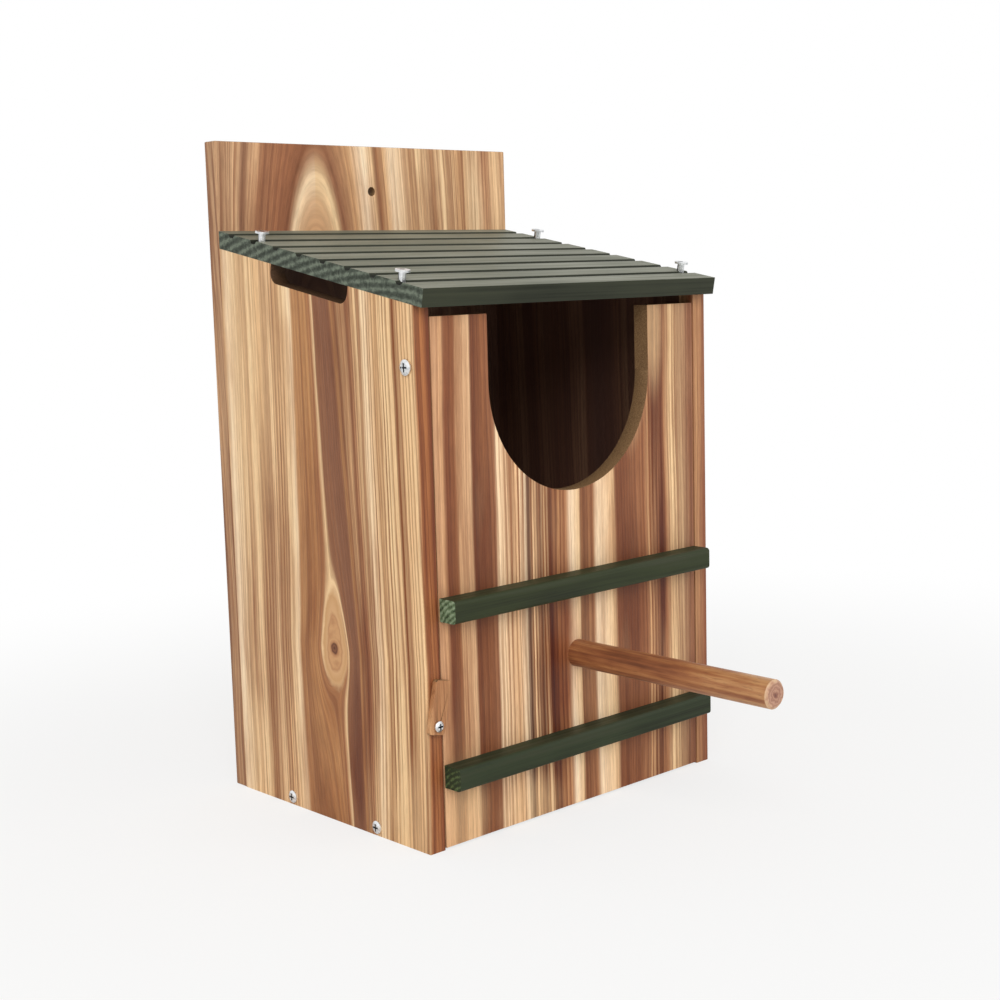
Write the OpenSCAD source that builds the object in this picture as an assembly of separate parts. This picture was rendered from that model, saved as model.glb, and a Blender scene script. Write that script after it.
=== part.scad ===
// Owl nest box: five boards, a sloping grooved roof and a swinging front.
// Millimetres, +Z up, the front faces -Y. The origin is the middle of the
// whole part's footprint, on the floor.

/* [Overall sizes] */
// Body and roof width
box_width = 220;
// Height of the back board
box_height = 370;
// Depth of the side boards, front edge to back board
side_depth = 165;
// Back board above the roof
back_strip = 49.35;
// Roof slope, falling to the front
roof_angle = 10.8;

/* [Boards] */
board = 10;
back_thickness = 10;
roof_thickness = 9.5;
floor_thickness = 9.5;
// Roof past the sides' front edges, along the slope
roof_overhang = 7;

/* [Roof grooves] */
groove_first = 18.5;
groove_pitch = 20.8;
// Narrowest strip left at the back
groove_last = 5;
groove_width = 5.8;
groove_depth = 1.8;

/* [Front panel] */
// Gap between the panel and each side
panel_side_gap = 0.8;
// Gap under the panel, and between it and the floor board
panel_floor_gap = 1;
// Gap between the panel's top and the roof
panel_roof_gap = 6;

/* [Entrance] */
entrance_width = 122;
// From the panel's top down to the sill
entrance_depth = 97;

/* [Vent slots] */
// From the sides' front edges, and from the back board
vent_front = 50.5;
vent_rear = 48.5;
vent_depth = 10;
vent_corner = 6;

/* [Battens] */
batten = 12;
batten_inset = 0.4;
batten_round = 2;
upper_batten_height = 120;
lower_batten_height = 33;

/* [Perch] */
perch_diameter = 15;
perch_length = 135;
perch_height = 86;
perch_chamfer = 1.2;

/* [Turn-button] */
button_length = 28;
button_width = 10;
button_thickness = 3;
button_end = 4.5;
button_corner = 1;
button_lean = 12;
button_height = 67.5;
button_gap = 0.3;
button_play = 0.07;

/* [Pivot of the front panel] */
// From the panel's top down to the screws
pivot_drop = 24.5;
// From the panel's face back to the screws
pivot_depth = 6;
pivot_shank = 3.6;
pivot_head = 8;
pivot_length = 32;
pivot_play = 0.07;
pivot_head_gap = 0.4;

/* [Screws] */
screw_shank = 3.5;
screw_head = 7;
screw_head_height = 1.6;
screw_length = 32;
// Play of a fixed screw in its board
screw_play = 0.03;
// From the sides' front edges, and from the back board
floor_screw_front = 43;
floor_screw_rear = 47;
button_shank = 3;
button_head = 5.6;
button_screw_length = 22;
// From the floor, and down from the sides' rear corners
back_screw_low = 30;
back_screw_drop = 49;
floor_back_screw = 50;
cross_width = 0.9;
cross_depth = 1;

/* [Roof nails] */
nail_shank = 4;
nail_head = 7.8;
nail_head_thickness = 1.1;
nail_length = 30;
// From the sides' front edges, and from the back board
nail_front = 15;
nail_rear = 32;
// How far the heads stand off the roof
nail_stand = 4.2;

/* [Hanging hole] */
hang_hole = 5;
// From the back board's top down to the hole
hang_drop = 26.5;

/* [Hidden] */
$fn = 48;

// Places shared by the pieces that meet
half = box_width / 2;
front_y = perch_length - (perch_length + side_depth + back_thickness) / 2;
back_y = front_y + side_depth;
slope = tan(roof_angle);
front_height = box_height - back_strip - roof_thickness / cos(roof_angle)
    - slope * side_depth;
edge_x = half - board / 2;
panel_half = half - board - panel_side_gap;
panel_top = front_height - panel_roof_gap;
entrance_r = entrance_width / 2;
entrance_sill = panel_top - entrance_depth;
pivot_height = panel_top - pivot_drop;
hang_height = box_height - hang_drop;
floor_screw_z = floor_thickness / 2;
button_x = edge_x;
button_face = button_gap + button_thickness;

roof_length = side_depth / cos(roof_angle) + roof_overhang
    + roof_thickness * slope;
groove_count = 1 + floor((roof_length - groove_first - groove_last)
    / groove_pitch);

// Height of the roof's underside, at a depth behind the sides' front edges
function under(depth) = front_height + slope * depth;

back_screw_high = under(side_depth) - back_screw_drop;
back_screw_heights = [back_screw_low, (back_screw_low + back_screw_high) / 2,
    back_screw_high];
nail_depths = [nail_front, side_depth - nail_rear];
floor_screw_depths = [floor_screw_front, side_depth - floor_screw_rear];

// A screw along -Z with its head's underside at the origin
module screw(shank, head, length, head_h) {
    tip = shank * 0.9;
    difference() {
        union() {
            cylinder(h = head_h * 0.5, d = head);
            translate([0, 0, head_h * 0.5])
                cylinder(h = head_h * 0.5, d1 = head, d2 = head * 0.62);
        }
        translate([-head * 0.3, -cross_width / 2, head_h - cross_depth])
            cube([head * 0.6, cross_width, cross_depth + 1]);
        translate([-cross_width / 2, -head * 0.3, head_h - cross_depth])
            cube([cross_width, head * 0.6, cross_depth + 1]);
    }
    translate([0, 0, tip - length])
        cylinder(h = length - tip, d = shank);
    translate([0, 0, -length])
        cylinder(h = tip, d1 = shank * 0.15, d2 = shank);
}

// A countersunk screw along -Z with its head's face at the origin
module flat_screw(shank, head, length) {
    cone = (head - shank) / 2;
    tip = shank * 0.9;
    difference() {
        union() {
            translate([0, 0, -cone])
                cylinder(h = cone, d1 = shank, d2 = head);
            translate([0, 0, tip - length])
                cylinder(h = length - tip - cone, d = shank);
        }
        translate([-head * 0.3, -cross_width / 2, -cross_depth])
            cube([head * 0.6, cross_width, cross_depth + 1]);
        translate([-cross_width / 2, -head * 0.3, -cross_depth])
            cube([cross_width, head * 0.6, cross_depth + 1]);
    }
    translate([0, 0, -length])
        cylinder(h = tip, d1 = shank * 0.15, d2 = shank);
}

// The hole that a screw or nail fills, along -Z, with its mouth above 0
module hole(shank, play, length, above = 1) {
    translate([0, 0, -length - 1])
        cylinder(h = length + 1 + above, d = shank + 2 * play);
}

// side = -1 is left, 1 is right; the screw's head is on the side's face
module on_side(side, depth, height, out = 0) {
    translate([side * (half + out), front_y + depth, height])
        rotate([0, side * 90, 0]) children();
}

module on_back(x, height) {
    translate([x, back_y + back_thickness, height])
        rotate([-90, 0, 0]) children();
}

module on_roof(side, depth) {
    translate([side * edge_x, front_y + depth, under(depth)])
        rotate([roof_angle, 0, 0])
            translate([0, 0, roof_thickness]) children();
}

module floor_holes(side) {
    for (depth = floor_screw_depths)
        on_side(side, depth, floor_screw_z)
            hole(screw_shank, screw_play, screw_length);
}

module back_holes() {
    for (side = [-1, 1]) {
        for (height = back_screw_heights)
            on_back(side * edge_x, height)
                hole(screw_shank, screw_play, screw_length, 0.5);
        on_back(side * floor_back_screw, floor_screw_z)
            hole(screw_shank, screw_play, screw_length, 0.5);
    }
}

module nail_holes() {
    for (side = [-1, 1], depth = nail_depths)
        on_roof(side, depth)
            hole(nail_shank, screw_play, nail_length - nail_stand);
}

module button_hole() {
    translate([-button_x, front_y, button_height]) rotate([90, 0, 0])
        hole(button_shank, screw_play, button_screw_length);
}

module back_board() {
    cone = (screw_head - screw_shank) / 2;
    difference() {
        translate([-half, back_y, 0])
            cube([box_width, back_thickness, box_height]);
        on_back(0, hang_height)
            translate([0, 0, -back_thickness - 1])
                cylinder(h = back_thickness + 2, d = hang_hole);
        back_holes();
        // countersinks
        for (side = [-1, 1]) {
            for (height = back_screw_heights)
                on_back(side * edge_x, height) translate([0, 0, -cone])
                    cylinder(h = cone, d1 = screw_shank + 2 * screw_play,
                        d2 = screw_head + 2 * screw_play);
            on_back(side * floor_back_screw, floor_screw_z)
                translate([0, 0, -cone])
                    cylinder(h = cone, d1 = screw_shank + 2 * screw_play,
                        d2 = screw_head + 2 * screw_play);
        }
    }
}

// Outline of a side board: X is the depth, Y is the height
module side_outline() {
    polygon([[0, 0], [side_depth, 0], [side_depth, under(side_depth)],
        [0, under(0)]]);
}

// The vent slot, open at the sloping top edge
module vent() {
    translate([0, front_y + vent_front, under(vent_front)])
        rotate([roof_angle, 0, 0]) {
            run = (side_depth - vent_front - vent_rear) / cos(roof_angle);
            translate([-half - 1, 0, vent_corner - vent_depth])
                cube([box_width + 2, run, vent_depth]);
            translate([-half - 1, vent_corner, -vent_depth])
                cube([box_width + 2, run - 2 * vent_corner, vent_depth]);
            for (at = [vent_corner, run - vent_corner])
                translate([-half - 1, at, vent_corner - vent_depth])
                    rotate([0, 90, 0])
                        cylinder(h = box_width + 2, r = vent_corner);
        }
}

module side_board(side) {
    difference() {
        translate([side < 0 ? -half : half - board, front_y, 0])
            rotate([90, 0, 90])
                linear_extrude(height = board) side_outline();
        vent();
        floor_holes(side);
        back_holes();
        nail_holes();
        on_side(side, pivot_depth, pivot_height)
            hole(pivot_shank, pivot_play, board + 1);
    }
}

module left_side() {
    difference() {
        side_board(-1);
        button_hole();
    }
}

module right_side() { side_board(1); }

module floor_board() {
    start = board + panel_floor_gap;
    difference() {
        translate([board - half, front_y + start, 0])
            cube([box_width - 2 * board, side_depth - start,
                floor_thickness]);
        floor_holes(-1);
        floor_holes(1);
        back_holes();
    }
}

// Outline of the roof board: X is the depth, Y is the height
module roof_outline() {
    toe = [-roof_overhang * cos(roof_angle),
        front_height - roof_overhang * sin(roof_angle)];
    lift = roof_thickness;
    polygon([toe,
        [side_depth, under(side_depth)],
        [side_depth, under(side_depth) + lift / cos(roof_angle)],
        [toe[0] - lift * sin(roof_angle), toe[1] + lift * cos(roof_angle)]]);
}

// One groove across the roof, at a distance up the slope from its front
module groove(at) {
    translate([0, front_y - roof_overhang * cos(roof_angle),
            front_height - roof_overhang * sin(roof_angle)])
        rotate([roof_angle, 0, 0])
            translate([-half - 1, at, roof_thickness])
                rotate([90, 0, 90])
                    linear_extrude(height = box_width + 2)
                        polygon([[-groove_width / 2 - 0.5, 0.5],
                            [-groove_width / 2, 0],
                            [-groove_width / 4, -groove_depth],
                            [groove_width / 4, -groove_depth],
                            [groove_width / 2, 0],
                            [groove_width / 2 + 0.5, 0.5]]);
}

module roof_board() {
    difference() {
        translate([-half, front_y, 0])
            rotate([90, 0, 90])
                linear_extrude(height = box_width) roof_outline();
        for (i = [0 : groove_count - 1])
            groove(groove_first + i * groove_pitch);
        nail_holes();
    }
}

module pivot_holes() {
    for (side = [-1, 1])
        on_side(side, pivot_depth, pivot_height)
            hole(pivot_shank, screw_play, pivot_length);
}

module front_panel() {
    difference() {
        translate([-panel_half, front_y, panel_floor_gap])
            cube([2 * panel_half, board, panel_top - panel_floor_gap]);
        // entrance: a round-bottomed U, open at the top
        translate([0, front_y - 1, entrance_sill + entrance_r]) {
            rotate([-90, 0, 0]) cylinder(h = board + 2, r = entrance_r, $fn = 96);
            translate([-entrance_r, 0, 0])
                cube([entrance_width, board + 2, box_height]);
        }
        translate([0, front_y, perch_height]) rotate([-90, 0, 0])
            translate([0, 0, -1])
                cylinder(h = board + 2, d = perch_diameter + 2 * screw_play);
        pivot_holes();
    }
}

// A square batten across the panel, with its two outer edges rounded
module cross_batten(height) {
    length = 2 * (panel_half - batten_inset);
    translate([-length / 2, front_y - batten, height]) {
        translate([0, batten_round, 0])
            cube([length, batten - batten_round, batten]);
        translate([0, 0, batten_round])
            cube([length, batten, batten - 2 * batten_round]);
        for (z = [batten_round, batten - batten_round])
            translate([0, batten_round, z]) rotate([0, 90, 0])
                cylinder(h = length, r = batten_round);
    }
}

module upper_batten() { cross_batten(upper_batten_height); }

module lower_batten() { cross_batten(lower_batten_height); }

module perch() {
    translate([0, front_y + board, perch_height]) rotate([90, 0, 0]) {
        cylinder(h = board + perch_length - perch_chamfer,
            d = perch_diameter);
        translate([0, 0, board + perch_length - perch_chamfer])
            cylinder(h = perch_chamfer, d1 = perch_diameter,
                d2 = perch_diameter - 2 * perch_chamfer);
    }
}

// Outline of the turn-button, standing on its screw at the origin
module button_outline() {
    w = button_width / 2;
    top = button_length - button_end;
    c = button_corner;
    polygon([[-w + c, -button_end], [w - c, -button_end],
        [w, c - button_end], [w, top - c], [w - c, top], [c - w, top],
        [-w, top - c], [-w, c - button_end]]);
}

module turn_button() {
    translate([-button_x, front_y - button_gap, button_height])
        rotate([90, 0, 0]) rotate([0, 0, -button_lean])
            difference() {
                linear_extrude(height = button_thickness) button_outline();
                translate([0, 0, -1])
                    cylinder(h = button_thickness + 2,
                        d = button_shank + 2 * button_play);
            }
}

module turn_button_screw() {
    translate([-button_x, front_y - button_face - button_gap, button_height])
        rotate([90, 0, 0])
            screw(button_shank, button_head, button_screw_length,
                screw_head_height);
}

module pivot_screw(side) {
    on_side(side, pivot_depth, pivot_height, pivot_head_gap)
        screw(pivot_shank, pivot_head, pivot_length, screw_head_height);
}

module left_pivot_screw() { pivot_screw(-1); }

module right_pivot_screw() { pivot_screw(1); }

module floor_screw(side, depth) {
    on_side(side, depth, floor_screw_z)
        screw(screw_shank, screw_head, screw_length, screw_head_height);
}

module left_front_floor_screw() { floor_screw(-1, floor_screw_depths[0]); }

module left_rear_floor_screw() { floor_screw(-1, floor_screw_depths[1]); }

module right_front_floor_screw() { floor_screw(1, floor_screw_depths[0]); }

module right_rear_floor_screw() { floor_screw(1, floor_screw_depths[1]); }

module back_screw(x, height) {
    on_back(x, height) flat_screw(screw_shank, screw_head, screw_length);
}

module left_lower_back_screw() { back_screw(-edge_x, back_screw_heights[0]); }

module left_middle_back_screw() { back_screw(-edge_x, back_screw_heights[1]); }

module left_upper_back_screw() { back_screw(-edge_x, back_screw_heights[2]); }

module right_lower_back_screw() { back_screw(edge_x, back_screw_heights[0]); }

module right_middle_back_screw() { back_screw(edge_x, back_screw_heights[1]); }

module right_upper_back_screw() { back_screw(edge_x, back_screw_heights[2]); }

module left_floor_back_screw() { back_screw(-floor_back_screw, floor_screw_z); }

module right_floor_back_screw() { back_screw(floor_back_screw, floor_screw_z); }

module roof_nail(side, depth) {
    tip = nail_shank;
    on_roof(side, depth) {
        translate([0, 0, nail_stand])
            cylinder(h = nail_head_thickness, d = nail_head);
        translate([0, 0, nail_stand - nail_length + tip])
            cylinder(h = nail_length - tip, d = nail_shank);
        translate([0, 0, nail_stand - nail_length])
            cylinder(h = tip, d1 = nail_shank * 0.15, d2 = nail_shank);
    }
}

module left_front_roof_nail() { roof_nail(-1, nail_depths[0]); }

module left_rear_roof_nail() { roof_nail(-1, nail_depths[1]); }

module right_front_roof_nail() { roof_nail(1, nail_depths[0]); }

module right_rear_roof_nail() { roof_nail(1, nail_depths[1]); }

back_board();
left_side();
right_side();
floor_board();
roof_board();
front_panel();
upper_batten();
lower_batten();
perch();
turn_button();
turn_button_screw();
left_pivot_screw();
right_pivot_screw();
left_front_floor_screw();
left_rear_floor_screw();
right_front_floor_screw();
right_rear_floor_screw();
left_lower_back_screw();
left_middle_back_screw();
left_upper_back_screw();
right_lower_back_screw();
right_middle_back_screw();
right_upper_back_screw();
left_floor_back_screw();
right_floor_back_screw();
left_front_roof_nail();
left_rear_roof_nail();
right_front_roof_nail();
right_rear_roof_nail();
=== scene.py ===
from functools import partial

import bpy
import numpy as np
from mathutils import Matrix, Vector


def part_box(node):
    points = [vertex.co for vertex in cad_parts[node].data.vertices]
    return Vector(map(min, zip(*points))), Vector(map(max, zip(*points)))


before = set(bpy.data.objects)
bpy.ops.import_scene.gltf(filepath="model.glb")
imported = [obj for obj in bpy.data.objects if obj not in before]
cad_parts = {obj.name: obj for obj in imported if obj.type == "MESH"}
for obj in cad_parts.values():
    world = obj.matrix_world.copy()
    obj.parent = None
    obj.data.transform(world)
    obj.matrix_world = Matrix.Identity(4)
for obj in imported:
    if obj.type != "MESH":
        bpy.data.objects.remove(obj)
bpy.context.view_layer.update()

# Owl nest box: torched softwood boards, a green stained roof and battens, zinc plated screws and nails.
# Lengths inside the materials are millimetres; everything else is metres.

MM = 1000.0

# Places taken over from the part's source, in millimetres
WIDTH = 220.0
PANEL_FRONT = -20.0
BOARD = 10.0
BACK_FRONT = 145.0
ROOF_UNDERSIDE_FRONT = 279.5
ROOF_SLOPE = np.tan(np.radians(10.8))
ROOF_THICKNESS = 9.5
# Heights of the roof's two faces over the middle line, y = 0
ROOF_UNDERSIDE_MIDDLE = ROOF_UNDERSIDE_FRONT - PANEL_FRONT * ROOF_SLOPE
ROOF_TOP_MIDDLE = ROOF_UNDERSIDE_MIDDLE + ROOF_THICKNESS / np.cos(np.arctan(ROOF_SLOPE))
PERCH_HEIGHT = 86.0
PERCH_END_RADIUS = 8.0      # a little more than the dowel's, so the last ring stop lies on its arris

# Growth rings, in millimetres
RING_PITCH = 3.1
RING_DRIFT = 5.0            # how many pitches the spacing wanders over a board
ARC_SCALE = 0.105           # the wave texture's period is 0.314, so this draws sawn rings 3 mm apart
OUTLINE = 1.5               # closer to a board's long edges than this is edge, further in is a cut-out

CHAMBER_PAINTED_SHADE = 0.92        # how much of the inner faces' colour is painted shade
SLACK = 0.1                 # millimetres by which the chamber's test reaches past its faces
WOOD_IOR = 1.5

# Studio and camera, in metres
FLOOR_REACH = 6.0
FLOOR_STEPS = 41
SHADOW_NEAR, SHADOW_FAR = 0.25, 0.75
ROOM_LIGHT = 0.6
AIM = (0.0, 0.0, 0.18)
LAMPS = (("key_light", (-1.5, -1.5, 1.5), 1.4, 26.0), ("fill_light", (0.9, -2.0, 0.9), 1.6, 10.0))
CAMERA_AT = (-0.6243, -0.6315, 0.2967)
CAMERA_RIGHT = (0.72911, -0.68388, -0.02661)
CAMERA_DOWN = (-0.11615, -0.08533, -0.98956)
WELD_REACH = 0.00001


def linear(colour):
    """An sRGB hex colour as linear RGB with alpha 1."""
    part = np.array([int(colour[i:i + 2], 16) for i in (1, 3, 5)]) / 255
    part = np.where(part <= 0.04045, part / 12.92, ((part + 0.055) / 1.055) ** 2.4)
    return (*(float(p) for p in part), 1.0)


def add(tree, kind, sockets=None, out=0, stops=None, **settings):
    """Adds one node with its settings and links, and gives back the output asked for, or a list of several."""
    node = tree.nodes.new("ShaderNode" + kind)
    for key, value in settings.items():
        setattr(node, key, value)
    for key, value in (sockets or {}).items():
        if isinstance(value, bpy.types.NodeSocket):
            tree.links.new(value, node.inputs[key])
        else:
            node.inputs[key].default_value = value
    if stops:
        marks = node.color_ramp.elements
        while len(marks) < len(stops):
            marks.new(1.0)
        for mark, (at, colour) in zip(marks, stops):
            mark.position = at
            mark.color = colour
    if isinstance(out, tuple):
        return [node.outputs[o] for o in out]
    return node.outputs[out] if len(node.outputs) else node


def new_material(name):
    """An empty node material and its adder."""
    material = bpy.data.materials.new(name)
    material.use_nodes = True
    material.node_tree.nodes.clear()
    return material, partial(add, material.node_tree)


def torched_pine(name, across, start, width, bands, grain="Z", through="Y", seed=0.0, sway=5.0, lean=None,
                 heart=None, knots=(), scorch=(), bleach=(), tilt=(0.0, 0.0), cut_burn=0.0, cuts=True):
    """Softwood board, planed, torched and brushed, then lightly varnished.

    The torch browns the hard late wood of every growth ring and leaves the soft early wood cream, so the
    board shows long stripes along the grain that bend round its knots, and brushing leaves the dark lines
    a little proud. Sawn ends show rings and pores in a duller grey-brown.

    across, grain, through: the axes over the face, along the grain and through the board.
    bands: (millimetres across, colour, strength of the fine lines there) for the broad colour bands.
    A point's place across is moved by a slow sway, then by lean, then round each knot as water flows round
    a pillar: u - du * r * r / (d * d), with d the distance from the knot on an ellipse.
    lean: (place, reach, slope, level) slants the stripes within reach of a place, by slope times the
    height over level. knots: (place, height, radius, how many times taller than wide).
    tilt: (slope, level) leans the rings through the board's thickness, so that its long edges show them too.
    scorch, bleach: (place, height, half width, half height, amount) of patches burnt darker or brushed paler.
    heart: (place, slope, height) swaps the place for the distance from the tree's middle, the length of
    (u - place, slope * (v - height)), which draws nested arches; the bands keep its two sides apart.
    cut_burn: how far a cut-out's edge is burnt. cuts: whether the board has cut-outs.
    """
    material, n = new_material(name)
    place, normal = n("TexCoord", out=("Object", "Normal"))
    axes = dict(zip("XYZ", n("SeparateXYZ", {0: place}, out=(0, 1, 2))))
    faces = dict(zip("XYZ", n("SeparateXYZ", {0: normal}, out=(0, 1, 2))))
    sign = 1.0 if width > 0 else -1.0
    u = n("Math", {0: axes[across], 1: sign * MM, 2: -sign * start}, operation="MULTIPLY_ADD")
    v = n("Math", {0: axes[grain], 1: MM}, operation="MULTIPLY")
    w = n("Math", {0: axes[through], 1: MM}, operation="MULTIPLY")
    span = abs(width)

    # Slow sway of the stripes along the board
    spot = n("CombineXYZ", {0: u, 1: v, 2: w})
    slow = n("VectorMath", {0: spot, 1: (1 / 70, 1 / 210, 1 / 90)}, operation="MULTIPLY")
    slow = n("TexNoise",
             {"Vector": n("VectorMath", {0: slow, 1: (seed, seed * 1.7, 0)}, operation="ADD"), "Scale": 1.0,
              "Detail": 1.0})
    quick = n("VectorMath", {0: spot, 1: (1 / 14, 1 / 60, 1 / 20)}, operation="MULTIPLY")
    quick = n("TexNoise",
              {"Vector": n("VectorMath", {0: quick, 1: (seed * 3, seed, 0)}, operation="ADD"), "Scale": 1.0,
               "Detail": 2.0})
    s = n("Math", {0: n("Math", {0: slow, 1: 0.5}, operation="SUBTRACT"), 1: 2 * sway, 2: u},
          operation="MULTIPLY_ADD")
    s = n("Math", {0: n("Math", {0: quick, 1: 0.5}, operation="SUBTRACT"), 1: 1.4, 2: s},
          operation="MULTIPLY_ADD")
    s = n("Math", {0: n("Math", {0: w, 1: tilt[1]}, operation="SUBTRACT"), 1: tilt[0], 2: s},
          operation="MULTIPLY_ADD")
    if lean:
        middle, reach, slope, level = lean
        near = n("MapRange",
                 {0: n("Math", {0: n("Math", {0: s, 1: middle}, operation="SUBTRACT")}, operation="ABSOLUTE"),
                  1: 0.0, 2: reach, 3: 1.0, 4: 0.0}, interpolation_type="SMOOTHSTEP")
        shift = n("Math", {0: n("Math", {0: v, 1: level}, operation="SUBTRACT"), 1: slope},
                  operation="MULTIPLY")
        s = n("Math", {0: near, 1: shift, 2: s}, operation="MULTIPLY_ADD")
    rounds = []
    for at, height, radius, tall in knots:
        du = n("Math", {0: u, 1: at}, operation="SUBTRACT")
        dv = n("Math", {0: n("Math", {0: v, 1: height}, operation="SUBTRACT"), 1: tall}, operation="DIVIDE")
        above = n("Math", {0: dv, 1: 0.0}, operation="MAXIMUM")
        dv = n("Math", {0: above, 1: -0.35, 2: dv}, operation="MULTIPLY_ADD")
        taper = n("Math", {0: above, 1: 0.3 / radius, 2: 1.0}, operation="MULTIPLY_ADD")
        far = n("VectorMath",
                {0: n("CombineXYZ", {0: n("Math", {0: du, 1: taper}, operation="MULTIPLY"), 1: dv})},
                operation="LENGTH", out="Value")
        square = n("Math", {0: n("Math", {0: far, 1: 2.0}, operation="POWER"), 1: radius * radius},
                   operation="MAXIMUM")
        push = n("Math", {0: n("Math", {0: du, 1: -radius * radius}, operation="MULTIPLY"), 1: square},
                 operation="DIVIDE")
        s = n("Math", {0: s, 1: push}, operation="ADD")
        eye = n("VectorMath",
                {0: n("CombineXYZ", {0: du, 1: n("Math", {0: v, 1: height}, operation="SUBTRACT")})},
                operation="LENGTH", out="Value")
        eye = n("Math", {0: n("Math", {0: eye, 1: radius}, operation="DIVIDE"), 1: 0.5}, operation="MINIMUM")
        rounds.append(n("Math", {0: n("Math", {0: far, 1: radius}, operation="DIVIDE"), 1: eye},
                        operation="MAXIMUM"))
    banded = s
    if heart:
        middle, slope, level = heart
        aside = n("Math", {0: s, 1: middle}, operation="SUBTRACT")
        rise = n("Math", {0: n("Math", {0: v, 1: level}, operation="SUBTRACT"), 1: slope},
                 operation="MULTIPLY")
        s = n("VectorMath", {0: n("CombineXYZ", {0: aside, 1: rise})}, operation="LENGTH", out="Value")
        banded = n("Math", {0: n("Math", {0: aside}, operation="SIGN"), 1: s, 2: middle},
                   operation="MULTIPLY_ADD")

    # Broad bands, with the strength of the fine lines as the ramp's alpha
    last = bands[-1][0]
    stops = [(at / last, (*linear(colour)[:3], strength)) for at, colour, strength in bands]
    colour, strength = n("ValToRGB", {0: n("Math", {0: banded, 1: last}, operation="DIVIDE")},
                         out=("Color", "Alpha"), stops=stops)

    # Fine rings about 3 mm apart and hair lines under 1 mm, drawn long along the grain
    flow = n("CombineXYZ", {0: s, 1: v, 2: w})
    rings = n("TexNoise",
              {"Vector": n("VectorMath", {0: flow, 1: (1 / 2.7, 1 / 420, 1 / 9)}, operation="MULTIPLY"),
               "Scale": 1.0, "Detail": 3.0, "Roughness": 0.6})
    rings = n("MapRange", {0: rings, 1: 0.5, 2: 0.6, 3: 0.0, 4: 1.0}, interpolation_type="SMOOTHSTEP")
    # Late wood proper: the fraction of place / 3.1 mm, slow to rise and quick to fall, at a pitch that drifts
    drift = n("TexNoise",
              {"Vector": n("VectorMath", {0: flow, 1: (1 / 15, 1 / 500, 1 / 40)}, operation="MULTIPLY"),
               "Scale": 1.0, "Detail": 1.0})
    turn = n("Math",
             {0: n("Math",
                   {0: s, 1: 1 / RING_PITCH, 2: n("Math", {0: drift, 1: RING_DRIFT}, operation="MULTIPLY")},
                   operation="MULTIPLY_ADD")}, operation="FRACT")
    late = n("Math",
             {0: n("MapRange", {0: turn, 1: 0.42, 2: 0.8, 3: 0.0, 4: 1.0}, interpolation_type="SMOOTHSTEP"),
              1: n("MapRange", {0: turn, 1: 0.9, 2: 1.0, 3: 1.0, 4: 0.0})}, operation="MULTIPLY")
    rings = n("Math", {0: n("Math", {0: late, 1: 0.6}, operation="MULTIPLY"),
                       1: n("Math", {0: rings, 1: 0.5}, operation="MULTIPLY")}, operation="ADD")
    wide = n("TexNoise",
             {"Vector": n("VectorMath", {0: flow, 1: (1 / 6.5, 1 / 520, 1 / 20)}, operation="MULTIPLY"),
              "Scale": 1.0, "Detail": 1.0})
    wide = n("MapRange", {0: wide, 1: 0.53, 2: 0.58, 3: 0.0, 4: 1.0}, interpolation_type="SMOOTHSTEP")
    hairs = n("TexNoise",
              {"Vector": n("VectorMath", {0: flow, 1: (1 / 0.8, 1 / 90, 1 / 2)}, operation="MULTIPLY"),
               "Scale": 1.0, "Detail": 2.0})
    hairs = n("MapRange", {0: hairs, 1: 0.42, 2: 0.7, 3: 0.0, 4: 1.0})
    rings = n("Math", {0: n("Math", {0: wide, 1: 0.55}, operation="MULTIPLY"), 1: rings}, operation="ADD",
              use_clamp=True)
    dark = n("Math", {0: rings, 1: strength}, operation="MULTIPLY")
    colour = n("Mix",
               {0: dark, 6: colour,
                7: n("Mix", {0: 1.0, 6: colour, 7: linear("#A06E48")}, data_type="RGBA",
                     blend_type="MULTIPLY", out=2)}, data_type="RGBA", out=2)
    colour = n("Mix",
               {0: n("Math", {0: hairs, 1: 0.3}, operation="MULTIPLY"), 6: colour,
                7: n("Mix", {0: 1.0, 6: colour, 7: linear("#B48458")}, data_type="RGBA",
                     blend_type="MULTIPLY", out=2)}, data_type="RGBA", out=2)

    def blot(base, at, height, half_width, half_height, core, amount):
        """base plus amount inside an ellipse, full out to core of its radius and gone at its rim."""
        du = n("Math", {0: n("Math", {0: s, 1: at}, operation="SUBTRACT"), 1: half_width}, operation="DIVIDE")
        dv = n("Math", {0: n("Math", {0: v, 1: height}, operation="SUBTRACT"), 1: half_height},
               operation="DIVIDE")
        far = n("VectorMath", {0: n("CombineXYZ", {0: du, 1: dv})}, operation="LENGTH", out="Value")
        more = n("MapRange", {0: far, 1: core, 2: 1.0, 3: amount, 4: 0.0}, interpolation_type="SMOOTHSTEP")
        return n("Math", {0: base, 1: more}, operation="ADD", use_clamp=True)

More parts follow.
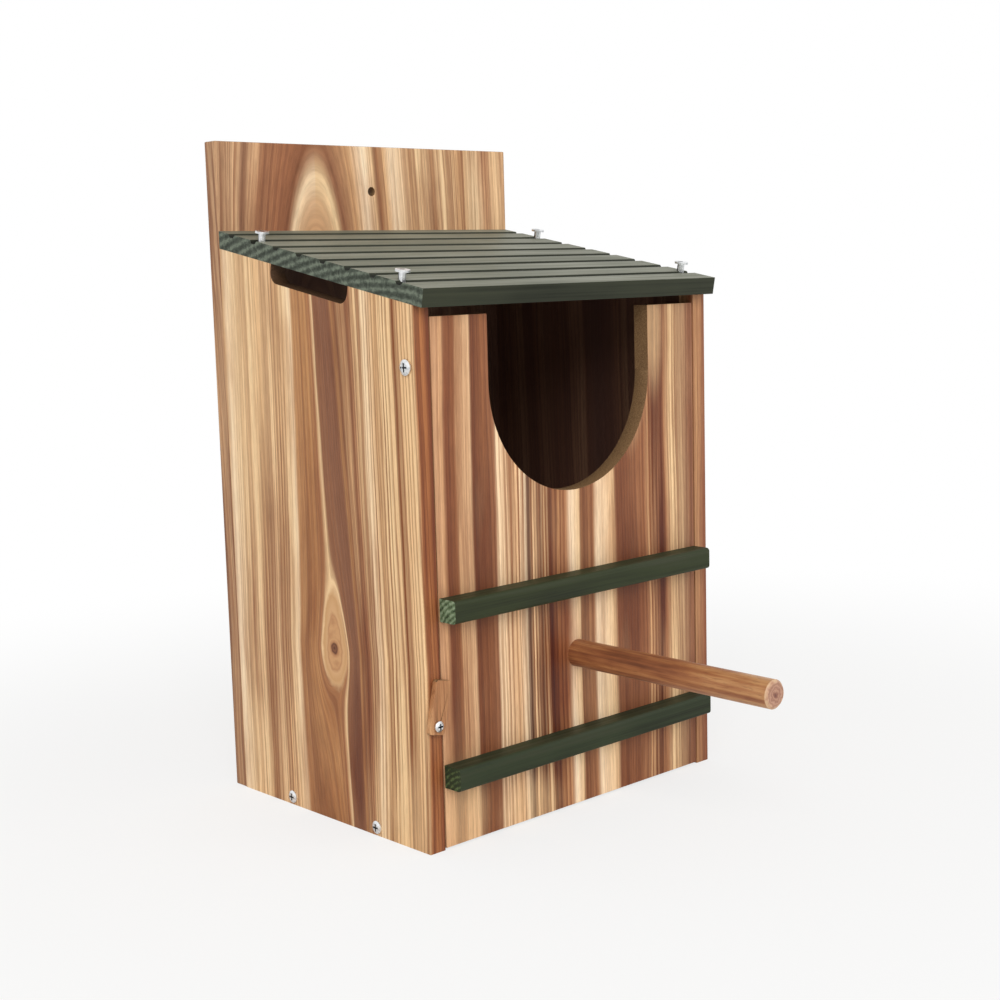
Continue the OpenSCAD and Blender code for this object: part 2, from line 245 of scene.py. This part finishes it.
    # Patches where the torch lingered, and paler ones where the brush took more off
    patch = n("TexNoise",
              {"Vector": n("VectorMath",
                           {0: n("VectorMath", {0: flow, 1: (1 / 16, 1 / 95, 1 / 60)}, operation="MULTIPLY"),
                            1: (seed, 0, seed)}, operation="ADD"), "Scale": 1.0, "Detail": 2.0,
               "Roughness": 0.5})
    burnt = n("MapRange", {0: patch, 1: 0.5, 2: 0.74, 3: 0.0, 4: 0.5}, interpolation_type="SMOOTHSTEP")
    for at, height, half_width, half_height, amount in scorch:
        burnt = blot(burnt, at, height, half_width, half_height, 0.35, amount)
    colour = n("Mix",
               {0: n("Math", {0: burnt, 1: 0.8}, operation="MULTIPLY"), 6: colour,
                7: n("Mix", {0: 1.0, 6: colour, 7: linear("#B47C50")}, data_type="RGBA",
                     blend_type="MULTIPLY", out=2)}, data_type="RGBA", out=2)
    pale = n("MapRange", {0: patch, 1: 0.44, 2: 0.25, 3: 0.0, 4: 0.14})
    for at, height, half_width, half_height, amount in bleach:
        pale = blot(pale, at, height, half_width, half_height, 0.3, amount)
    colour = n("Mix",
               {0: pale, 6: colour,
                7: n("Mix", {0: 0.35, 6: linear("#EECA98"), 7: colour}, data_type="RGBA", out=2)},
               data_type="RGBA", out=2)

    # Fibres half a millimetre wide, a little lighter and darker, and more contrast between pale and dark wood
    fibre = n("TexNoise",
              {"Vector": n("VectorMath", {0: flow, 1: (1 / 0.55, 1 / 11, 1 / 0.8)}, operation="MULTIPLY"),
               "Scale": 1.0, "Detail": 3.0, "Roughness": 0.65})
    gain = n("MapRange", {0: fibre, 1: 0.32, 2: 0.68, 3: 0.84, 4: 1.12})
    clean = n("MapRange", {0: n("SeparateXYZ", {0: colour}, out=1), 1: 0.06, 2: 0.5, 3: 0.9, 4: 1.18})
    gain = n("Math", {0: gain, 1: clean}, operation="MULTIPLY")
    colour = n("VectorMath", {0: colour, "Scale": gain}, operation="SCALE")

    # Each knot: a small round heart with a ring, in a pale halo drawn out along the grain
    for ratio in rounds:
        wander = n("TexNoise", {"Vector": spot, "Scale": 0.16, "Detail": 2.0})
        ratio = n("Math", {0: n("Math", {0: wander, 1: 0.5}, operation="SUBTRACT"), 1: 0.3, 2: ratio},
                  operation="MULTIPLY_ADD")
        inner = n("ValToRGB", {0: ratio},
                  stops=[(0.0, linear("#5A3422")), (0.1, linear("#87563A")), (0.2, linear("#633A26")),
                         (0.3, linear("#B98258")), (0.46, linear("#D2A070")), (0.54, linear("#BE8A5E")),
                         (0.64, linear("#D8AA7A")), (0.84, linear("#CE9E6C")), (1.0, linear("#E2B888"))])
        cover = n("MapRange", {0: ratio, 1: 1.12, 2: 0.86, 3: 0.0, 4: 1.0}, interpolation_type="SMOOTHSTEP")
        colour = n("Mix", {0: cover, 6: colour, 7: inner}, data_type="RGBA", out=2)

    # Sawn ends show rings and pores; the edges of cut-outs show pores only
    ring_spot = n("CombineXYZ", {0: n("Math", {0: u, 1: span * 0.55}, operation="SUBTRACT"),
                                 1: n("Math", {0: w, 1: 46.0 + start * 0.1}, operation="ADD")})
    arcs = n("TexWave",
             {"Vector": n("VectorMath", {0: ring_spot, 1: (ARC_SCALE, ARC_SCALE, 0.0)}, operation="MULTIPLY"),
              "Scale": 1.0, "Distortion": 1.5, "Detail": 2.0, "Detail Scale": 0.6}, out="Color",
             wave_type="RINGS", rings_direction="Z")
    pores = n("TexNoise", {"Vector": spot, "Scale": 1.6, "Detail": 3.0, "Roughness": 0.7})
    end = n("MapRange",
            {0: n("Math", {0: faces[grain]}, operation="ABSOLUTE"), 1: 0.45, 2: 0.75, 3: 0.0, 4: 1.0})
    rim = n("Math",
            {0: n("Math", {0: n("Math", {0: u, 1: span / 2}, operation="SUBTRACT")}, operation="ABSOLUTE"),
             1: span / 2 - OUTLINE}, operation="LESS_THAN")
    cut = n("Math",
            {0: rim if cuts else 0.0,
             1: n("MapRange",
                  {0: n("Math", {0: faces[through]}, operation="ABSOLUTE"), 1: 0.75, 2: 0.45, 3: 0.0,
                   4: 1.0})}, operation="MULTIPLY")
    arcs = n("Math",
             {0: n("Math", {0: 1.0, 1: cut}, operation="SUBTRACT"),
              1: n("Math", {0: arcs, 1: 0.5}, operation="SUBTRACT"), 2: 0.5}, operation="MULTIPLY_ADD")
    sawn = n("ValToRGB",
             {0: n("Math", {0: pores, 1: 0.75, 2: n("Math", {0: arcs, 1: 0.25}, operation="MULTIPLY")},
                   operation="MULTIPLY_ADD")},
             stops=[(0.3, linear("#5E432C")), (0.52, linear("#8A6A48")), (0.75, linear("#B08C62"))])
    end = n("Math", {0: end, 1: cut}, operation="MAXIMUM")
    sawn = n("Mix",
             {0: n("Math", {0: cut, 1: cut_burn}, operation="MULTIPLY"), 6: sawn, 7: linear("#3A2318")},
             data_type="RGBA", out=2)
    colour = n("Mix", {0: end, 6: colour, 7: sawn}, data_type="RGBA", out=2)

    # Painted shade: the chamber's inner faces are darkened to a smoky brown for the shade inside the closed box
    half = WIDTH / 2 - BOARD + SLACK
    chamber = n("Math",
                {0: n("Math", {0: n("Math", {0: axes["X"]}, operation="ABSOLUTE"), 1: half / MM},
                      operation="LESS_THAN"),
                 1: n("Math", {0: axes["Y"], 1: (PANEL_FRONT + BOARD - SLACK) / MM},
                      operation="GREATER_THAN")}, operation="MULTIPLY")
    roof = n("Math", {0: axes["Y"], 1: float(ROOF_SLOPE), 2: ROOF_UNDERSIDE_MIDDLE / MM},
             operation="MULTIPLY_ADD")
    chamber = n("Math", {0: chamber, 1: n("Math", {0: axes["Z"], 1: roof}, operation="LESS_THAN")},
                operation="MULTIPLY")
    chamber = n("Math",
                {0: chamber,
                 1: n("Math", {0: axes["Y"], 1: (BACK_FRONT + SLACK) / MM}, operation="LESS_THAN")},
                operation="MULTIPLY")
    painted_shade = n("Mix", {0: 1.0, 6: colour, 7: linear("#7A5A4C")}, data_type="RGBA", blend_type="MULTIPLY",
               out=2)
    painted_shade = n("Mix", {0: 0.55, 6: painted_shade, 7: linear("#6C5046")}, data_type="RGBA", out=2)
    colour = n("Mix",
               {0: n("Math", {0: chamber, 1: CHAMBER_PAINTED_SHADE}, operation="MULTIPLY"), 6: colour, 7: painted_shade},
               data_type="RGBA", out=2)

    # Brushed relief: late wood and single fibres stand up to a quarter of a millimetre proud
    relief = n("Math", {0: rings, 1: 0.5, 2: n("Math", {0: fibre, 1: 0.7}, operation="MULTIPLY")},
               operation="MULTIPLY_ADD")
    relief = n("Mix", {0: end, 2: relief, 3: pores}, data_type="FLOAT", out=0)
    bump = n("Bump", {"Height": relief, "Strength": 0.8, "Distance": 0.0003}, out="Normal")
    rough = n("MapRange", {0: relief, 1: 0.0, 2: 1.0, 3: 0.62, 4: 0.48})
    shader = n("BsdfPrincipled",
               {"Base Color": colour, "Roughness": rough, "Normal": bump, "IOR": WOOD_IOR,
                "Specular IOR Level": 0.3})
    n("OutputMaterial", {"Surface": shader})
    return material


def green_stain(name, seed=0.0, face="#2E3124", roof=False, dark_end=False):
    """Softwood under a dark green penetrating stain, satin.

    The stain hides most of the colour of the wood but lets faint streaks through, and sawn ends drink it
    unevenly, so they show pale and dark growth rings and small drying cracks.
    """
    material, n = new_material(name)
    place, normal = n("TexCoord", out=("Object", "Normal"))
    axes = dict(zip("XYZ", n("SeparateXYZ", {0: place}, out=(0, 1, 2))))
    faces = dict(zip("XYZ", n("SeparateXYZ", {0: normal}, out=(0, 1, 2))))
    spot = n("VectorMath", {0: place, 1: (MM, MM, MM)}, operation="MULTIPLY")
    streak = n("TexNoise",
               {"Vector": n("VectorMath", {0: spot, 1: (1 / 160, 1 / 2.2, 1 / 2.2)}, operation="MULTIPLY"),
                "Scale": 1.0, "Detail": 3.0, "Roughness": 0.6})
    patch = n("TexNoise",
              {"Vector": n("VectorMath", {0: spot, 1: (1 / 70, 1 / 24, 1 / 24)}, operation="MULTIPLY"),
               "Scale": 1.0, "Detail": 2.0})
    fleck = n("TexNoise", {"Vector": spot, "Scale": 0.45, "Detail": 4.0, "Roughness": 0.75})
    tone = n("Math", {0: streak, 1: 0.55, 2: n("Math", {0: patch, 1: 0.45}, operation="MULTIPLY")},
             operation="MULTIPLY_ADD")
    colour = n("ValToRGB", {0: tone},
               stops=[(0.3, linear("#1E2116")), (0.5, linear(face)), (0.75, linear("#3A3D2C"))])
    if roof:
        # Painted sheen and shade: the top face is painted greyer for the glossy reflection seen at a grazing
        # angle, and its grooves are painted dark for their shade
        top = n("Math", {0: axes["Y"], 1: float(ROOF_SLOPE),
                         2: ROOF_TOP_MIDDLE / MM}, operation="MULTIPLY_ADD")
        depth = n("Math", {0: n("Math", {0: top, 1: axes["Z"]}, operation="SUBTRACT"), 1: MM},
                  operation="MULTIPLY")
        up = n("MapRange", {0: faces["Z"], 1: 0.6, 2: 0.95, 3: 0.0, 4: 1.0})
        open_face = n("MapRange", {0: depth, 1: 0.45, 2: 0.05, 3: 0.0, 4: 1.0})
        # painted sheen: grey tones on the open top face, standing in for a reflection
        painted_sheen = n("ValToRGB", {0: tone},
                   stops=[(0.3, linear("#5E6150")), (0.52, linear("#7E7F6F")), (0.72, linear("#98998A"))])
        colour = n("Mix", {0: n("Math", {0: up, 1: open_face}, operation="MULTIPLY"), 6: colour, 7: painted_sheen},
                   data_type="RGBA", out=2)
        # painted shade: near black in the grooves, deeper than 0.3 mm below the top face
        painted_groove_shade = n("MapRange", {0: depth, 1: 0.3, 2: 1.0, 3: 0.0, 4: 1.0})
        painted_groove_shade = n("Math", {0: painted_groove_shade, 1: n("Math", {0: faces["Z"], 1: 0.2}, operation="GREATER_THAN")},
                   operation="MULTIPLY")
        colour = n("Mix", {0: painted_groove_shade, 6: colour, 7: linear("#1B1D14")}, data_type="RGBA", out=2)
        centre = (0.0, 12.0, 262.0)
        ends = [(0.36, "#343A30"), (0.5, "#4E554A"), (0.64, "#737C6C")]
        spacing, flat = 0.08, 0.35
    else:
        centre = (0.0, -38.0, seed)
        ends = [(0.32, "#2F3A28"), (0.5, face if dark_end else "#667A5A"),
                (0.66, "#5A6A44" if dark_end else "#94A588")]
        spacing, flat = 0.12, 1.0
    arcs = n("TexWave",
             {"Vector": n("VectorMath",
                          {0: n("VectorMath", {0: spot, 1: centre}, operation="SUBTRACT"),
                           1: (0.0, spacing * flat, spacing)}, operation="MULTIPLY"), "Scale": 1.0,
              "Distortion": 1.6, "Detail": 2.0, "Detail Scale": 0.5}, out="Color", wave_type="RINGS",
             rings_direction="X")
    sawn = n("ValToRGB",
             {0: n("Math", {0: fleck, 1: 0.8, 2: n("Math", {0: arcs, 1: 0.2}, operation="MULTIPLY")},
                   operation="MULTIPLY_ADD")}, stops=[(at, linear(c)) for at, c in ends])
    end = n("MapRange",
            {0: n("Math", {0: faces["X"]}, operation="ABSOLUTE"), 1: 0.5, 2: 0.85, 3: 0.0, 4: 1.0})
    colour = n("Mix", {0: end, 6: colour, 7: sawn}, data_type="RGBA", out=2)
    relief = n("Mix", {0: end, 2: streak, 3: fleck}, data_type="FLOAT", out=0)
    bump = n("Bump", {"Height": relief, "Strength": 0.45, "Distance": 0.0003}, out="Normal")
    rough = n("MapRange", {0: streak, 1: 0.3, 2: 0.7, 3: 0.62, 4: 0.5})
    shader = n("BsdfPrincipled", {"Base Color": colour, "Roughness": rough, "Normal": bump, "IOR": WOOD_IOR,
                                  "Specular IOR Level": 0.2})
    n("OutputMaterial", {"Surface": shader})
    return material


def torched_dowel(name):
    """Beech dowel, turned, torched and varnished: short brown streaks along it, paler near the outer end,
    and rings round the pith on the sawn end."""
    material, n = new_material(name)
    place, normal = n("TexCoord", out=("Object", "Normal"))
    spot = n("VectorMath", {0: n("VectorMath", {0: place, 1: (MM, MM, MM)}, operation="MULTIPLY"),
                            1: (0.0, 0.0, PERCH_HEIGHT)}, operation="SUBTRACT")
    y = n("SeparateXYZ", {0: spot}, out=1)
    face = n("SeparateXYZ", {0: normal}, out=1)
    streak = n("TexNoise",
               {"Vector": n("VectorMath", {0: spot, 1: (1 / 2.0, 1 / 55, 1 / 2.0)}, operation="MULTIPLY"),
                "Scale": 1.0, "Detail": 3.0, "Roughness": 0.6})
    pores = n("TexNoise",
              {"Vector": n("VectorMath", {0: spot, 1: (1 / 0.6, 1 / 6, 1 / 0.6)}, operation="MULTIPLY"),
               "Scale": 1.0, "Detail": 2.0})
    patch = n("TexNoise",
              {"Vector": n("VectorMath", {0: spot, 1: (1 / 9, 1 / 30, 1 / 9)}, operation="MULTIPLY"),
               "Scale": 1.0, "Detail": 2.0})
    tone = n("Math", {0: streak, 1: 0.6, 2: n("Math", {0: patch, 1: 0.4}, operation="MULTIPLY")},
             operation="MULTIPLY_ADD")
    outer = n("MapRange", {0: y, 1: -90.0, 2: -150.0, 3: 0.0, 4: 0.16})
    tone = n("Math", {0: tone, 1: outer}, operation="ADD")
    colour = n("ValToRGB", {0: tone},
               stops=[(0.3, linear("#5E3420")), (0.45, linear("#8A5232")), (0.56, linear("#A66C42")),
                      (0.7, linear("#C4905E"))])
    colour = n("Mix",
               {0: n("MapRange", {0: pores, 1: 0.55, 2: 0.72, 3: 0.0, 4: 0.45}), 6: colour,
                7: linear("#6B3E26")}, data_type="RGBA", out=2)
    around = n("VectorMath", {0: n("VectorMath", {0: spot, 1: (1, 0, 1)}, operation="MULTIPLY")},
               operation="LENGTH", out="Value")
    wander = n("TexNoise", {"Vector": spot, "Scale": 0.4, "Detail": 2.0})
    around = n("Math", {0: n("Math", {0: wander, 1: 0.5}, operation="SUBTRACT"), 1: 4.0, 2: around},
               operation="MULTIPLY_ADD")
    sawn = n("ValToRGB", {0: n("Math", {0: around, 1: PERCH_END_RADIUS}, operation="DIVIDE")},
             stops=[(0.0, linear("#6E4034")), (0.16, linear("#8E5C48")), (0.3, linear("#B98A70")),
                    (0.42, linear("#9A6A54")), (0.55, linear("#BE9078")), (0.68, linear("#A2735A")),
                    (0.8, linear("#C79C80")), (0.93, linear("#D9B690"))])
    end = n("MapRange", {0: n("Math", {0: face}, operation="ABSOLUTE"), 1: 0.35, 2: 0.8, 3: 0.0, 4: 1.0})
    colour = n("Mix", {0: end, 6: colour, 7: sawn}, data_type="RGBA", out=2)
    relief = n("Math", {0: streak, 1: 0.6, 2: n("Math", {0: pores, 1: 0.4}, operation="MULTIPLY")},
               operation="MULTIPLY_ADD")
    bump = n("Bump", {"Height": relief, "Strength": 0.4, "Distance": 0.0002}, out="Normal")
    shader = n("BsdfPrincipled",
               {"Base Color": colour, "Roughness": n("MapRange", {0: tone, 1: 0.3, 2: 0.7, 3: 0.5, 4: 0.4}),
                "Normal": bump, "IOR": WOOD_IOR})
    n("OutputMaterial", {"Surface": shader})
    return material


def zinc_plate(node, axis, toward):
    """Bright zinc plating on a steel screw or nail, rolled and tumbled: pale metal with a faint mottle and fine
    scratches, and painted shade darkening the cross recess.

    The recess is where a point lies within its reach of the screw's own line and below the face of the head.
    """
    material, n = new_material("bright_zinc_" + node)
    low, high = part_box(node)
    centre = (low + high) / 2
    centre[axis] = (high if toward > 0 else low)[axis]
    place = n("TexCoord", out="Object")
    spot = n("VectorMath",
             {0: n("VectorMath", {0: place, 1: tuple(centre)}, operation="SUBTRACT"), 1: (MM, MM, MM)},
             operation="MULTIPLY")
    mottle = n("TexNoise", {"Vector": spot, "Scale": 0.8, "Detail": 3.0})
    colour = n("ValToRGB", {0: mottle}, stops=[(0.35, linear("#D2D5D8")), (0.6, linear("#F2F3F4"))])
    flat = [0.0 if k == axis else 1.0 for k in range(3)]
    radius = n("VectorMath", {0: n("VectorMath", {0: spot, 1: flat}, operation="MULTIPLY")},
               operation="LENGTH", out="Value")
    depth = n("Math", {0: n("SeparateXYZ", {0: spot}, out=axis), 1: -float(toward)}, operation="MULTIPLY")
    # painted shade: the cross recess is darkened to a dull grey for the shade inside it
    recess = n("Math", {0: n("MapRange", {0: radius, 1: 2.3, 2: 2.0, 3: 0.0, 4: 1.0}),
                        1: n("MapRange", {0: depth, 1: 0.15, 2: 0.5, 3: 0.0, 4: 1.0})}, operation="MULTIPLY")
    colour = n("Mix", {0: recess, 6: colour, 7: linear("#3A3C40")}, data_type="RGBA", out=2)
    scratch = n("TexNoise",
                {"Vector": n("VectorMath", {0: spot, 1: (6.0, 0.7, 6.0)}, operation="MULTIPLY"), "Scale": 1.0,
                 "Detail": 2.0})
    rough = n("MapRange", {0: scratch, 1: 0.3, 2: 0.7, 3: 0.24, 4: 0.4})
    bump = n("Bump", {"Height": scratch, "Strength": 0.2, "Distance": 0.0001}, out="Normal")
    shader = n("BsdfPrincipled", {"Base Color": colour, "Metallic": 1.0, "Roughness": rough, "Normal": bump})
    n("OutputMaterial", {"Surface": shader})
    return material


# Broad bands by board: millimetres across, colour, strength of the fine lines
SIDE_BANDS = [(0, "#D8AC80", 0.3), (3, "#F6DEBC", 0.3), (14, "#F0D0A2", 0.5), (19, "#E4BC8E", 0.7),
              (25, "#F2D2A4", 0.6), (33, "#DDB080", 0.8), (42, "#F0CC9E", 0.6), (50, "#DEB282", 0.8),
              (57, "#EECC9E", 0.5), (63, "#F4D8B0", 0.2), (65, "#CB9766", 0.3), (72, "#BE8858", 0.4),
              (79, "#C8925F", 0.3), (84, "#B57C52", 0.4), (86.5, "#F0CE9E", 0.1), (88, "#A06C4A", 0.2),
              (96, "#986648", 0.2), (103, "#9E6A4A", 0.3), (104, "#C4905F", 0.4), (107, "#A8724A", 0.5),
              (110, "#E2B888", 0.6), (116, "#B9825A", 0.7), (120, "#EBC695", 0.7), (126, "#F4D8B0", 0.7),
              (134, "#E2B886", 0.9), (142, "#F2D2A2", 0.8), (150, "#E0B584", 1.0), (164, "#ECC898", 0.8),
              (165.2, "#B8784A", 0.6), (167, "#8E4E2A", 0.5), (169.5, "#B67444", 0.8), (173, "#8E4E2A", 0.6)]
RIGHT_SIDE_BANDS = [(0, "#9C6142", 0.3), (6, "#CC9A6C", 0.5), (10, "#9A5C3A", 0.3), (18, "#D9AC7C", 0.5),
                    (28, "#EFCFA2", 0.5), (38, "#D2A070", 0.9), (50, "#EBC799", 0.7), (58, "#A66C46", 0.5),
                    (60, "#EECB9B", 0.3), (66, "#D8A876", 0.8), (78, "#8A5238", 0.3), (86, "#7E5442", 0.2),
                    (94, "#B37A4C", 0.5), (96, "#EDC999", 0.3), (108, "#DDB080", 0.9), (120, "#B47A4E", 0.6),
                    (128, "#E6BE8E", 0.7), (140, "#C08856", 0.9), (150, "#EBC798", 0.6),
                    (165, "#D0A070", 0.6)]
FRONT_BANDS = [(1, "#D8A87E", 0.3), (6, "#D2A074", 0.3), (8, "#8A4E2E", 0.4), (14, "#A2663E", 0.4),
               (16, "#D8AA7E", 0.5), (24, "#E8C094", 0.3), (25.5, "#80482A", 0.4), (33, "#9C623C", 0.5),
               (40, "#A06A48", 0.5), (42, "#F4D6AE", 0.5), (55, "#E2B688", 0.9), (60, "#F4D8B2", 0.9),
               (64.5, "#6E4028", 0.6), (67, "#EAC294", 1.0), (73, "#865030", 1.0), (76, "#EECA9C", 1.0),
               (82, "#965C3A", 1.0), (87, "#B98256", 0.8), (93, "#CC9468", 0.5), (96, "#F8E0BE", 0.2),
               (102, "#F0CEA0", 0.3), (104, "#A06A44", 0.6), (114, "#B07850", 0.5), (117, "#F6DCB8", 0.2),
               (130, "#EAC496", 0.3), (133, "#945A38", 0.4), (156, "#A86E48", 0.5), (159, "#E0B080", 0.9),
               (166, "#9C6644", 1.0), (173, "#B47C54", 1.0), (178, "#F0CE9E", 0.6), (194, "#9C6848", 0.6)]
BACK_BANDS = [(0, "#C49A74", 0.6), (3, "#E2B88C", 0.6), (6, "#A87C5C", 0.5), (12, "#E0B488", 0.3),
              (15, "#B27C56", 0.4), (25, "#AC704A", 0.3), (29, "#A0663F", 0.3), (31, "#F4D8B0", 0.1),
              (34, "#DDB082", 0.3), (44, "#CE9A6C", 0.5), (66, "#C48E60", 0.6), (88, "#D2A074", 0.5),
              (98, "#DDB082", 0.3), (101, "#F2D2A2", 0.1), (103, "#A26A46", 0.2), (110, "#D8A878", 0.3),
              (117, "#F6DEBC", 0.2), (123, "#EBC697", 0.4), (126, "#A87048", 0.4), (131, "#DEB080", 0.3),
              (136, "#F6DCB8", 0.3), (150, "#E4BA8A", 0.6), (158, "#F2D2A4", 0.5), (166, "#BC8A60", 0.5),
              (172, "#F0CEA0", 0.6), (188, "#D6A676", 0.6), (196, "#F4D8AC", 0.5), (207, "#C8946A", 0.6),
              (214, "#E8C294", 0.5)]
FLOOR_BANDS = [(0, "#C9976A", 0.5), (20, "#E2B88A", 0.8), (48, "#B67E52", 0.5), (52, "#EBC699", 0.4),
               (80, "#D2A071", 0.9), (110, "#A66E48", 0.5), (114, "#E9C294", 0.5), (150, "#C99767", 0.8),
               (180, "#DFB587", 0.8)]
BUTTON_BANDS = [(0, "#D2A070", 0.3), (2.5, "#B9845A", 0.3), (6, "#B27C52", 0.3), (9, "#C08C60", 0.3)]

left_wood = torched_pine("torched_pine_left_side", "Y", 145.0, -165.0, SIDE_BANDS, through="X", seed=1.3,
                         sway=2.0, cut_burn=0.75, tilt=(1.0, -110.0),
                         bleach=[(147.0, 5.0, 20.0, 60.0, 0.6), (10.0, 20.0, 26.0, 60.0, 0.3),
                                 (20.0, 250.0, 44.0, 150.0, 0.5)], lean=(96.0, 34.0, 0.075, 200.0),
                         knots=[(91.0, 97.0, 11.0, 2.0)],
                         scorch=[(97.0, 45.0, 12.0, 55.0, 0.5), (78.0, 160.0, 12.0, 70.0, 0.4),
                                 (115.0, 90.0, 14.0, 90.0, 0.5), (30.0, 110.0, 40.0, 90.0, 0.25)])
right_wood = torched_pine("torched_pine_right_side", "Y", -20.0, 165.0, RIGHT_SIDE_BANDS, through="X",
                          seed=4.1, sway=7.0, cut_burn=0.75, tilt=(-0.8, 110.0),
                          knots=[(62.0, 112.0, 7.0, 2.0)])
front_wood = torched_pine("torched_pine_front", "X", -99.2, 198.4, FRONT_BANDS, seed=7.7, sway=3.0,
                          tilt=(0.5, -20.0),
                          bleach=[(14.0, 15.0, 22.0, 40.0, 0.6), (62.0, 8.0, 30.0, 22.0, 0.4),
                                  (165.0, 262.0, 10.0, 50.0, 0.6), (125.0, 40.0, 10.0, 40.0, 0.4),
                                  (146.0, 245.0, 14.0, 60.0, 1.0)],
                          scorch=[(30.0, 150.0, 14.0, 60.0, 0.5), (12.0, 60.0, 14.0, 60.0, 0.5),
                                  (145.0, 110.0, 14.0, 60.0, 0.6), (88.0, 90.0, 18.0, 60.0, 0.6),
                                  (172.0, 120.0, 12.0, 60.0, 0.5)])
back_wood = torched_pine("torched_pine_back", "X", -110.0, 220.0, BACK_BANDS, seed=2.9, sway=4.0,
                         tilt=(0.8, 145.0), heart=(66.0, 0.12, 60.0))
floor_wood = torched_pine("torched_pine_floor", "Y", -9.0, 154.0, FLOOR_BANDS, grain="X", through="Z",
                          seed=5.5, sway=6.0)
button_wood = torched_pine("torched_pine_button", "X", -110.0, 10.0, BUTTON_BANDS, seed=9.1, sway=1.0,
                           cuts=False)
roof_stain = green_stain("green_stain_roof", roof=True)
upper_stain = green_stain("green_stain_upper_batten", seed=110.0, face="#2F361F")
lower_stain = green_stain("green_stain_lower_batten", seed=20.0, face="#2F3824", dark_end=True)
dowel_wood = torched_dowel("torched_beech_dowel")

finishes = {"back_board": back_wood, "left_side": left_wood, "right_side": right_wood,
            "floor_board": floor_wood, "roof_board": roof_stain, "front_panel": front_wood,
            "upper_batten": upper_stain, "lower_batten": lower_stain, "perch": dowel_wood,
            "turn_button": button_wood}
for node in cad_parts:
    if node in finishes:
        continue
    if node == "turn_button_screw":
        finishes[node] = zinc_plate(node, 1, -1)
    elif node.endswith("roof_nail"):
        finishes[node] = zinc_plate(node, 2, 1)
    elif "back_screw" in node:
        finishes[node] = zinc_plate(node, 1, 1)
    else:
        finishes[node] = zinc_plate(node, 0, -1 if node.startswith("left") else 1)
for node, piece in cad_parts.items():
    finish = finishes[node]
    if not piece.material_slots:
        piece.data.materials.append(finish)
    for slot in piece.material_slots:
        slot.material = finish

# Eased edges: the loose triangles are joined, then every sharp arris is rounded by a brush's width
EASED = {"back_board": 0.6, "left_side": 0.6, "right_side": 0.6, "floor_board": 0.4, "front_panel": 0.6,
         "roof_board": 0.5, "turn_button": 0.3}
for node, radius in EASED.items():
    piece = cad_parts[node]
    weld = piece.modifiers.new("joined", "WELD")
    weld.merge_threshold = WELD_REACH
    ease = piece.modifiers.new("eased_edges", "BEVEL")
    ease.width = radius / MM
    ease.segments = 2
    ease.limit_method = "ANGLE"
    ease.angle_limit = np.radians(40)


def studio():
    """A pale floor that fades into white away from the object, and a white room for camera and gloss."""
    steps = FLOOR_STEPS
    line = np.linspace(-FLOOR_REACH, FLOOR_REACH, steps)
    gx, gy = np.meshgrid(line, line)
    mesh = bpy.data.meshes.new("studio_floor")
    i, j = np.meshgrid(np.arange(steps - 1), np.arange(steps - 1))
    first = (j * steps + i).ravel()
    faces = np.stack([first, first + 1, first + steps + 1, first + steps], 1)
    mesh.from_pydata(np.stack([gx.ravel(), gy.ravel(), np.zeros(gx.size)], 1).tolist(), [], faces.tolist())
    floor = bpy.data.objects.new("studio_floor", mesh)
    bpy.context.scene.collection.objects.link(floor)
    material, n = new_material("studio_white")
    near = n("VectorMath", {0: n("TexCoord", out="Object")}, operation="LENGTH", out="Value")
    shadow_part = n("MapRange", {0: near, 1: SHADOW_NEAR, 2: SHADOW_FAR, 3: 0.3, 4: 0.0},
                    interpolation_type="SMOOTHSTEP")
    seen = n("LightPath", out="Is Camera Ray")
    matt = n("BsdfDiffuse", {"Color": linear("#F4F4F2")})
    white = n("Emission", {"Color": (1, 1, 1, 1), "Strength": 1.0})
    shown = n("MixShader", {0: shadow_part, 1: white, 2: matt})
    n("OutputMaterial", {"Surface": n("MixShader", {0: seen, 1: matt, 2: shown})})
    mesh.materials.append(material)

    world = bpy.data.worlds.new("studio_room")
    bpy.context.scene.world = world
    world.use_nodes = True
    world.node_tree.nodes.clear()
    n = partial(add, world.node_tree)
    camera_ray, glossy_ray, clear_ray = n("LightPath",
                                          out=("Is Camera Ray", "Is Glossy Ray", "Is Transmission Ray"))
    seen = n("Math", {0: n("Math", {0: camera_ray, 1: glossy_ray}, operation="MAXIMUM"), 1: clear_ray},
             operation="MAXIMUM")
    light = n("Background", {"Color": (1, 1, 1, 1), "Strength": ROOM_LIGHT})
    white = n("Background", {"Color": (1, 1, 1, 1), "Strength": 1.0})
    n("OutputWorld", {"Surface": n("MixShader", {0: seen, 1: light, 2: white})})

    for name, spot, size, power in LAMPS:
        lamp = bpy.data.lights.new(name, "AREA")
        lamp.shape, lamp.size, lamp.energy = "SQUARE", size, power
        holder = bpy.data.objects.new(name, lamp)
        holder.location = spot
        holder.rotation_euler = (Vector(AIM) - Vector(spot)).to_track_quat("-Z", "Y").to_euler()
        bpy.context.scene.collection.objects.link(holder)


def camera():
    """A 58.6 mm lens on a 36 mm wide frame, looking at the left side and the front from above the middle."""
    lens = bpy.data.cameras.new("camera")
    lens.sensor_width, lens.lens = 36.0, 58.59
    lens.clip_start, lens.clip_end = 0.01, 30.0
    right = Vector(CAMERA_RIGHT).normalized()
    back = right.cross(-Vector(CAMERA_DOWN)).normalized()
    up = back.cross(right)
    holder = bpy.data.objects.new("camera", lens)
    turn = Matrix((right, up, back)).transposed().to_4x4()
    holder.matrix_world = Matrix.Translation(CAMERA_AT) @ turn
    bpy.context.scene.collection.objects.link(holder)
    bpy.context.scene.camera = holder


studio()
camera()
bpy.context.scene.view_settings.view_transform = "Standard"
